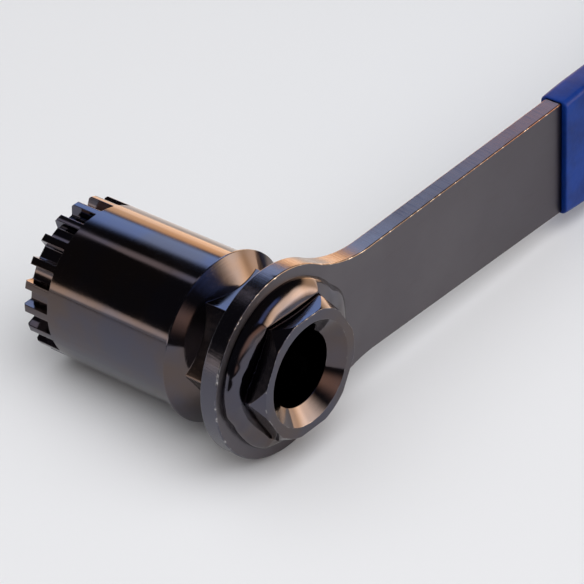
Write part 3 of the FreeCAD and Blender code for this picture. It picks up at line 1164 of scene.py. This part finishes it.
@dataclass
class GripSleeve:
    """Dipped grip: a closed sleeve round the bar's end, with a soft lip at its mouth."""

    finish: DippedVinyl
    plate: HandlePlate
    face_wall: float = 1.35
    side_wall: float = 0.75
    mouth_wall: float = 0.30
    swell: float = 7.0
    rounding: float = 1.3
    lip: float = 0.30
    clearance: float = 0.02
    flat_steps: int = 12
    inner_steps: int = 24
    long_steps: int = 80
    end_steps: int = 24
    edge_steps: int = 7
    mouth_ease: float = 0.6
    inner_ease: float = 0.6
    inner_stop: float = 0.9995
    long_ease: float = 1.3

    def side_at(self, x: float) -> float:
        """Wall over the bar's long edges: thin at the mouth, full a little way on."""
        share = min(1.0, max(0.0, (x - self.plate.grip_start) / self.swell))
        return self.mouth_wall + (self.side_wall - self.mouth_wall) * share ** self.mouth_ease

    def ring(self, x: float, face: float, side: float, end: float) -> list[Vector]:
        """Points round the sleeve at one station.

        Args:
            x: Distance along the handle.
            face: Distance outside the bar's flat faces.
            side: Distance outside its long edges.
            end: Distance outside its far end.

        Returns:
            Points round the rounded section, drawn in round the end's corners.
        """
        corner = self.plate.corner + side
        into = max(0.0, x - (self.plate.length + end - corner))
        drawn = corner - math.sqrt(max(0.0, corner ** 2 - into ** 2))
        half = max(0.2, self.plate.half_bar(x) + side - drawn)
        centre, middle = self.plate.middle(x), self.plate.thickness / 2
        thick = middle + face
        wanted = self.rounding if face > 0.5 else self.plate.edge_break
        radius = max(0.05, min(wanted, thick * 0.9, half * 0.9))
        points = []
        for quarter, (sx, sy) in enumerate(((1, 1), (-1, 1), (-1, -1), (1, -1))):
            for k in range(7):
                angle = 90.0 * quarter + 15.0 * k
                a, b = turned(angle, radius)
                y, z = middle - (sy * (thick - radius) + b), centre + sx * (half - radius) + a
                points.append(Vector((x, y, z)))
            if quarter % 2 == 0:
                left = points[-1].copy()
                for k in range(1, self.flat_steps):
                    z = left.z - 2 * (half - radius) * k / self.flat_steps * sx
                    points.append(Vector((x, left.y, z)))
        return points

    def stations(self) -> list[tuple[float, float, float, float]]:
        """Station and walls of each ring, from the inner end round the lip to the far end."""
        start, far = self.plate.grip_start, self.plate.length + self.face_wall
        depth = self.plate.length + self.clearance - start
        loose = self.clearance
        count = self.inner_steps
        inner = [start + depth * (1 - k / count) ** self.inner_ease * self.inner_stop
                 for k in range(count)]
        rings = [(x, loose, loose, loose) for x in inner if x > start + self.lip + 0.1]
        for k in range(6):
            angle = math.radians(18.0 * k)
            back, out = self.lip * (1 - math.sin(angle)), 1 - math.cos(angle)
            rings.append((start + back, loose + 0.2 * out, loose + 0.08 * out, loose))
        for k in range(7):
            angle = math.radians(15.0 * k)
            x = start + self.lip * (1 - math.cos(angle))
            fullness = math.sin(angle)
            face = self.face_wall - self.lip * (1 - fullness)
            rings.append((x, face, self.side_at(x) * (0.5 + 0.5 * fullness), self.face_wall))
        bend = self.plate.corner + self.side_wall
        straight = far - bend - start - self.lip
        for k in range(1, self.long_steps):
            x = start + self.lip + straight * (k / self.long_steps) ** self.long_ease
            rings.append((x, self.face_wall, self.side_at(x), self.face_wall))
        turn = bend - self.rounding
        for k in range(self.end_steps + 1):
            x = far - self.rounding - turn * math.cos(math.radians(90.0 * k / self.end_steps))
            rings.append((x, self.face_wall, self.side_wall, self.face_wall))
        for k in range(1, self.edge_steps + 1):
            angle = math.radians(90.0 * k / self.edge_steps)
            x = far - self.rounding * (1 - math.sin(angle))
            drawn = self.rounding * (1 - math.cos(angle))
            rings.append((x, self.face_wall - drawn, self.side_wall - drawn * 0.5, self.face_wall))
        return rings

    def build(self) -> bpy.types.Object:
        """Build and dress the grip.

        Returns:
            The grip.
        """
        rings = [self.ring(*station) for station in self.stations()]
        grip = MeshWork.grid("grip", rings, True, False, {})
        with MeshWork.edited(grip) as work:
            bmesh.ops.holes_fill(work, edges=[edge for edge in work.edges if len(edge.link_faces) == 1])
        MeshWork.settle(grip)
        MeshWork.dress(grip, self.finish.material(), Slot.GRIP, "grip_sleeve")
        return grip


@dataclass(frozen=True)
class SoftLamp:
    """A soft box aimed at the tool, set by where it stands and how bright it looks."""

    name: str
    azimuth: float
    elevation: float
    width: float
    height: float
    tint: Colour
    brightness: float
    fade: float = 0.3
    distance: float = 1.4
    reach: Reach = Reach.EVERYTHING

    def soften(self, lamp: bpy.types.AreaLight) -> None:
        """Let the light fade towards the box's edges.

        Args:
            lamp: Lamp whose nodes are set.
        """
        lamp.use_nodes = True
        bench = NodeBench(lamp.node_tree)
        place = bench.add("ShaderNodeTexCoord").out("UV")
        mask: Signal | float = 1.0
        for axis in ("X", "Y"):
            along = bench.axis(place, axis)
            mask = along.ramp(0.0, self.fade) * (1.0 - along).ramp(0.0, self.fade) * mask
        glow = bench.add("ShaderNodeEmission", {}, {"Strength": mask}).out(0)
        bench.add("ShaderNodeOutputLight", {}, {"Surface": glow})

    def switch_on(self, size: Point, seat: Matrix, tool: bpy.types.Collection) -> None:
        """Add the lamp at its place.

        Args:
            size: Width and height in metres.
            seat: Place and direction; the light leaves along the seat's -Z.
            tool: Pieces of the tool, which alone are lit by a lamp that reaches only them.
        """
        lamp = bpy.data.lights.new(self.name, "AREA")
        lamp.shape = "RECTANGLE"
        lamp.size, lamp.size_y = size
        lamp.energy = self.brightness * math.pi * lamp.size * lamp.size_y
        lamp.color = self.tint
        self.soften(lamp)
        holder = put_in_scene(self.name, lamp)
        holder.matrix_world = seat
        holder.visible_camera = False
        holder.visible_glossy = self.reach is not Reach.SHADING
        if self.reach is Reach.TOOL:
            holder.light_linking.receiver_collection = tool

    def hang(self, aim: Vector, ground: Ground, tool: bpy.types.Collection) -> None:
        """Hang the box where its angles say.

        Args:
            aim: Point that it looks at.
            ground: Point and normal of the floor; not used here, only a card on the floor needs it.
            tool: Pieces of the tool.
        """
        flat, rise = turned(self.elevation, 1.0)
        way = Vector((*turned(self.azimuth, flat), rise))
        size = (2 * self.distance * math.tan(math.radians(self.width / 2)),
                2 * self.distance * math.tan(math.radians(self.height / 2)))
        turn = way.to_track_quat("Z", "Y").to_matrix().to_4x4()
        self.switch_on(size, Matrix.Translation(aim + way * self.distance) @ turn, tool)


@dataclass(frozen=True)
class FloorCard(SoftLamp):
    """A glowing card laid on the floor; its width and height are metres and its elevation isn't used."""

    lift: float = 0.001

    def hang(self, aim: Vector, ground: Ground, tool: bpy.types.Collection) -> None:
        """Lay the card on the floor with its width along its azimuth.

        Args:
            aim: Point that its distance is measured from.
            ground: Point and normal of the floor.
            tool: Pieces of the tool.
        """
        foot, normal = ground
        heading = Vector((*turned(self.azimuth, 1.0), 0.0))
        along = (heading - normal * heading.dot(normal)).normalized()
        centre = aim + heading * self.distance
        centre += normal * (self.lift - (centre - foot).dot(normal))
        turn = Matrix((along, -normal.cross(along), -normal)).transposed().to_4x4()
        self.switch_on((self.width, self.height), Matrix.Translation(centre) @ turn, tool)


@dataclass
class Studio:
    """Pale floor, soft lamps and the camera of the photograph."""

    aim: Vector
    floor_size: float = 14.0
    dark_wall: float = -128.0
    floor_colour: Colour = (0.80, 0.805, 0.815)
    floor_mottle: float = 0.985
    floor_gap: float = 0.00002
    wall_pale: Colour = (0.72, 0.72, 0.74)
    wall_dark: Colour = (0.045, 0.038, 0.040)
    ceiling: Colour = (0.030, 0.028, 0.032)
    camera_azimuth: float = -48.435
    camera_elevation: float = 33.474
    camera_roll: float = -3.186
    camera_distance: float = 0.56382
    camera_target: tuple[float, float, float] = (0.003376, 0.0, 0.013901)
    focal_pixels: float = 3043.54
    picture_pixels: float = 584.0
    sensor: float = 36.0

    @staticmethod
    def resting_plane(supports: Sequence[tuple[bpy.types.Object, float]]) -> Ground:
        """Plane that the tool rests on, through its three lowest supports.

        Args:
            supports: Piece that carries each support, and the least Y that it is looked for at.

        Returns:
            A point of the plane and its normal.
        """
        clouds = [[vert.co.copy() for vert in piece.data.vertices if vert.co.y >= least]
                  for piece, least in supports]
        normal = Vector((0.0, 0.0, 1.0))
        feet: list[Vector] = []
        for _ in range(8):
            feet = [min(cloud, key=lambda co: co.dot(normal)) for cloud in clouds]
            normal = (feet[1] - feet[0]).cross(feet[2] - feet[0]).normalized()
            if normal.z < 0.0:
                normal = -normal
        return feet[0], normal

    def lay_floor(self, ground: Ground) -> None:
        """Lay the pale floor under the tool.

        Args:
            ground: Point that it passes through and direction it faces.
        """
        foot, normal = ground
        side = self.floor_size / 2
        corners = [(-side, -side, 0), (side, -side, 0), (side, side, 0), (-side, side, 0)]
        mesh = bpy.data.meshes.new("floor")
        mesh.from_pydata(corners, [], [(0, 1, 2, 3)])
        turn = normal.to_track_quat("Z", "Y").to_matrix().to_4x4()
        mesh.transform(Matrix.Translation(foot - normal * self.floor_gap) @ turn)
        floor = put_in_scene("floor", mesh)
        material, bench = shader_bench("pale_paper")
        place = bench.object_place()
        mottled = tuple(value * self.floor_mottle for value in self.floor_colour)
        clouds = bench.noise(place, 6.0, 2.0, 0.5)
        tone = bench.blend(clouds.ramp(0.35, 0.65), self.floor_colour, mottled)
        close_surface(bench, {"Base Color": tone, "Roughness": 0.75, "Specular IOR Level": 0.2}, [])
        mesh.materials.append(material)

    def hang_lamps(self, ground: Ground, pieces: Sequence[bpy.types.Object]) -> None:
        """Hang the soft lamps round the tool.

        Args:
            ground: Point and normal of the floor.
            pieces: Pieces of the tool.
        """
        tool = bpy.data.collections.new("tool_pieces")
        for piece in pieces:
            tool.objects.link(piece)
        lamps = (
            SoftLamp("overhead_softbox", 160.0, 74.0, 108.0, 92.0, (0.975, 0.985, 1.0), 1.1,
                     reach=Reach.SHADING),
            SoftLamp("front_softbox", -92.0, 54.0, 100.0, 76.0, (0.985, 0.985, 1.0), 1.8,
                     reach=Reach.SHADING),
            SoftLamp("warm_softbox", -52.0, 17.0, 58.0, 34.0, (1.0, 0.77, 0.53), 5.8, 0.3, reach=Reach.TOOL),
            SoftLamp("grey_strip", 83.0, 53.0, 11.0, 24.0, (0.95, 0.90, 1.0), 0.9, 0.4),
            SoftLamp("warm_wide", -20.0, 8.0, 76.0, 34.0, (1.0, 0.68, 0.40), 2.6, 0.25, reach=Reach.TOOL),
            SoftLamp("warm_side", 32.0, 2.0, 60.0, 46.0, (1.0, 0.58, 0.30), 2.9, 0.15, 0.3, Reach.TOOL),
            FloorCard("warm_card", 41.5, 0.0, 0.32, 0.16, (1.0, 0.55, 0.22), 0.3, 0.1, 0.20, Reach.TOOL),
            SoftLamp("brown_corner", -100.0, 13.0, 46.0, 28.0, (1.0, 0.62, 0.44), 1.0, 0.4),
            SoftLamp("cool_window", 44.0, 33.0, 44.0, 28.0, (0.40, 0.58, 1.0), 2.6, reach=Reach.TOOL),
            SoftLamp("cool_front", -76.0, 42.0, 46.0, 20.0, (0.28, 0.43, 1.0), 1.1, reach=Reach.TOOL),
            SoftLamp("low_strip", 143.0, 8.0, 76.0, 9.0, (1.0, 0.80, 0.62), 1.8, 0.35),
        )
        for lamp in lamps:
            lamp.hang(self.aim, ground, tool)
            LOG.info("lamp %s", lamp.name)

    def set_world(self) -> None:
        """Room round the stage: pale low down with one dark side, and dim above."""
        world = bpy.data.worlds.new("studio_room")
        world.use_nodes = True
        bpy.context.scene.world = world
        bench = NodeBench(world.node_tree)
        way = bench.add("ShaderNodeTexCoord").out("Generated")
        height = bench.axis(way, "Z")
        towards = bench.add("ShaderNodeVectorMath", {"operation": "DOT_PRODUCT"},
                            {0: way, 1: (*turned(self.dark_wall, 1.0), 0.0)}).out("Value")
        low = bench.blend(towards.ramp(0.72, 0.90), self.wall_pale, self.wall_dark)
        colour = bench.blend(height.ramp(0.08, 0.22), low, self.ceiling)
        shader = bench.add("ShaderNodeBackground", {}, {"Color": colour, "Strength": 1.0}).out(0)
        bench.add("ShaderNodeOutputWorld", {}, {"Surface": shader})

    def place_camera(self) -> None:
        """Put the camera where the photograph was taken from."""
        azimuth, elevation = math.radians(self.camera_azimuth), math.radians(self.camera_elevation)
        back = Vector((math.sin(azimuth) * math.cos(elevation), -math.cos(azimuth) * math.cos(elevation),
                       math.sin(elevation)))
        right = Vector((0.0, 0.0, 1.0)).cross(back).normalized()
        up = back.cross(right)
        roll = math.radians(self.camera_roll)
        cosine, sine = math.cos(roll), math.sin(roll)
        right, up = right * cosine + up * sine, up * cosine - right * sine
        lens = bpy.data.cameras.new("camera")
        lens.sensor_width = self.sensor
        lens.lens = self.focal_pixels * self.sensor / self.picture_pixels
        lens.clip_start = 0.01
        camera = put_in_scene("camera", lens)
        turn = Matrix((right, up, back)).transposed().to_4x4()
        place = Vector(self.camera_target) + back * self.camera_distance
        camera.matrix_world = Matrix.Translation(place) @ turn
        bpy.context.scene.camera = camera


def main() -> None:
    """Build the pieces round the frame and set the stage."""
    logging.basicConfig(level=logging.INFO, format="%(name)s: %(message)s")
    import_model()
    bpy.context.scene.view_settings.view_transform = "Standard"

    socket = SplineSocket(DarkPlating("black_plating_turned")).build()
    plate_class = HandlePlate(PlateFinish("black_plating_satin"))
    plate = plate_class.build()
    weld = WeldBead(DarkPlating("black_plating_weld", gloss=0.09, turning=0.0)).build()
    grip = GripSleeve(DippedVinyl("blue_vinyl"), plate_class).build()

    studio = Studio(Vector((0.02, 0.01, 0.0)))
    studio.place_camera()
    ground = studio.resting_plane(((plate, -1.0), (socket, 0.040), (grip, -1.0)))
    LOG.info("floor leans %.2f degrees", math.degrees(ground[1].angle(Vector((0.0, 0.0, 1.0)))))
    studio.lay_floor(ground)
    studio.hang_lamps(ground, (socket, plate, weld, grip))
    studio.set_world()


if __name__ == "__main__":
    main()
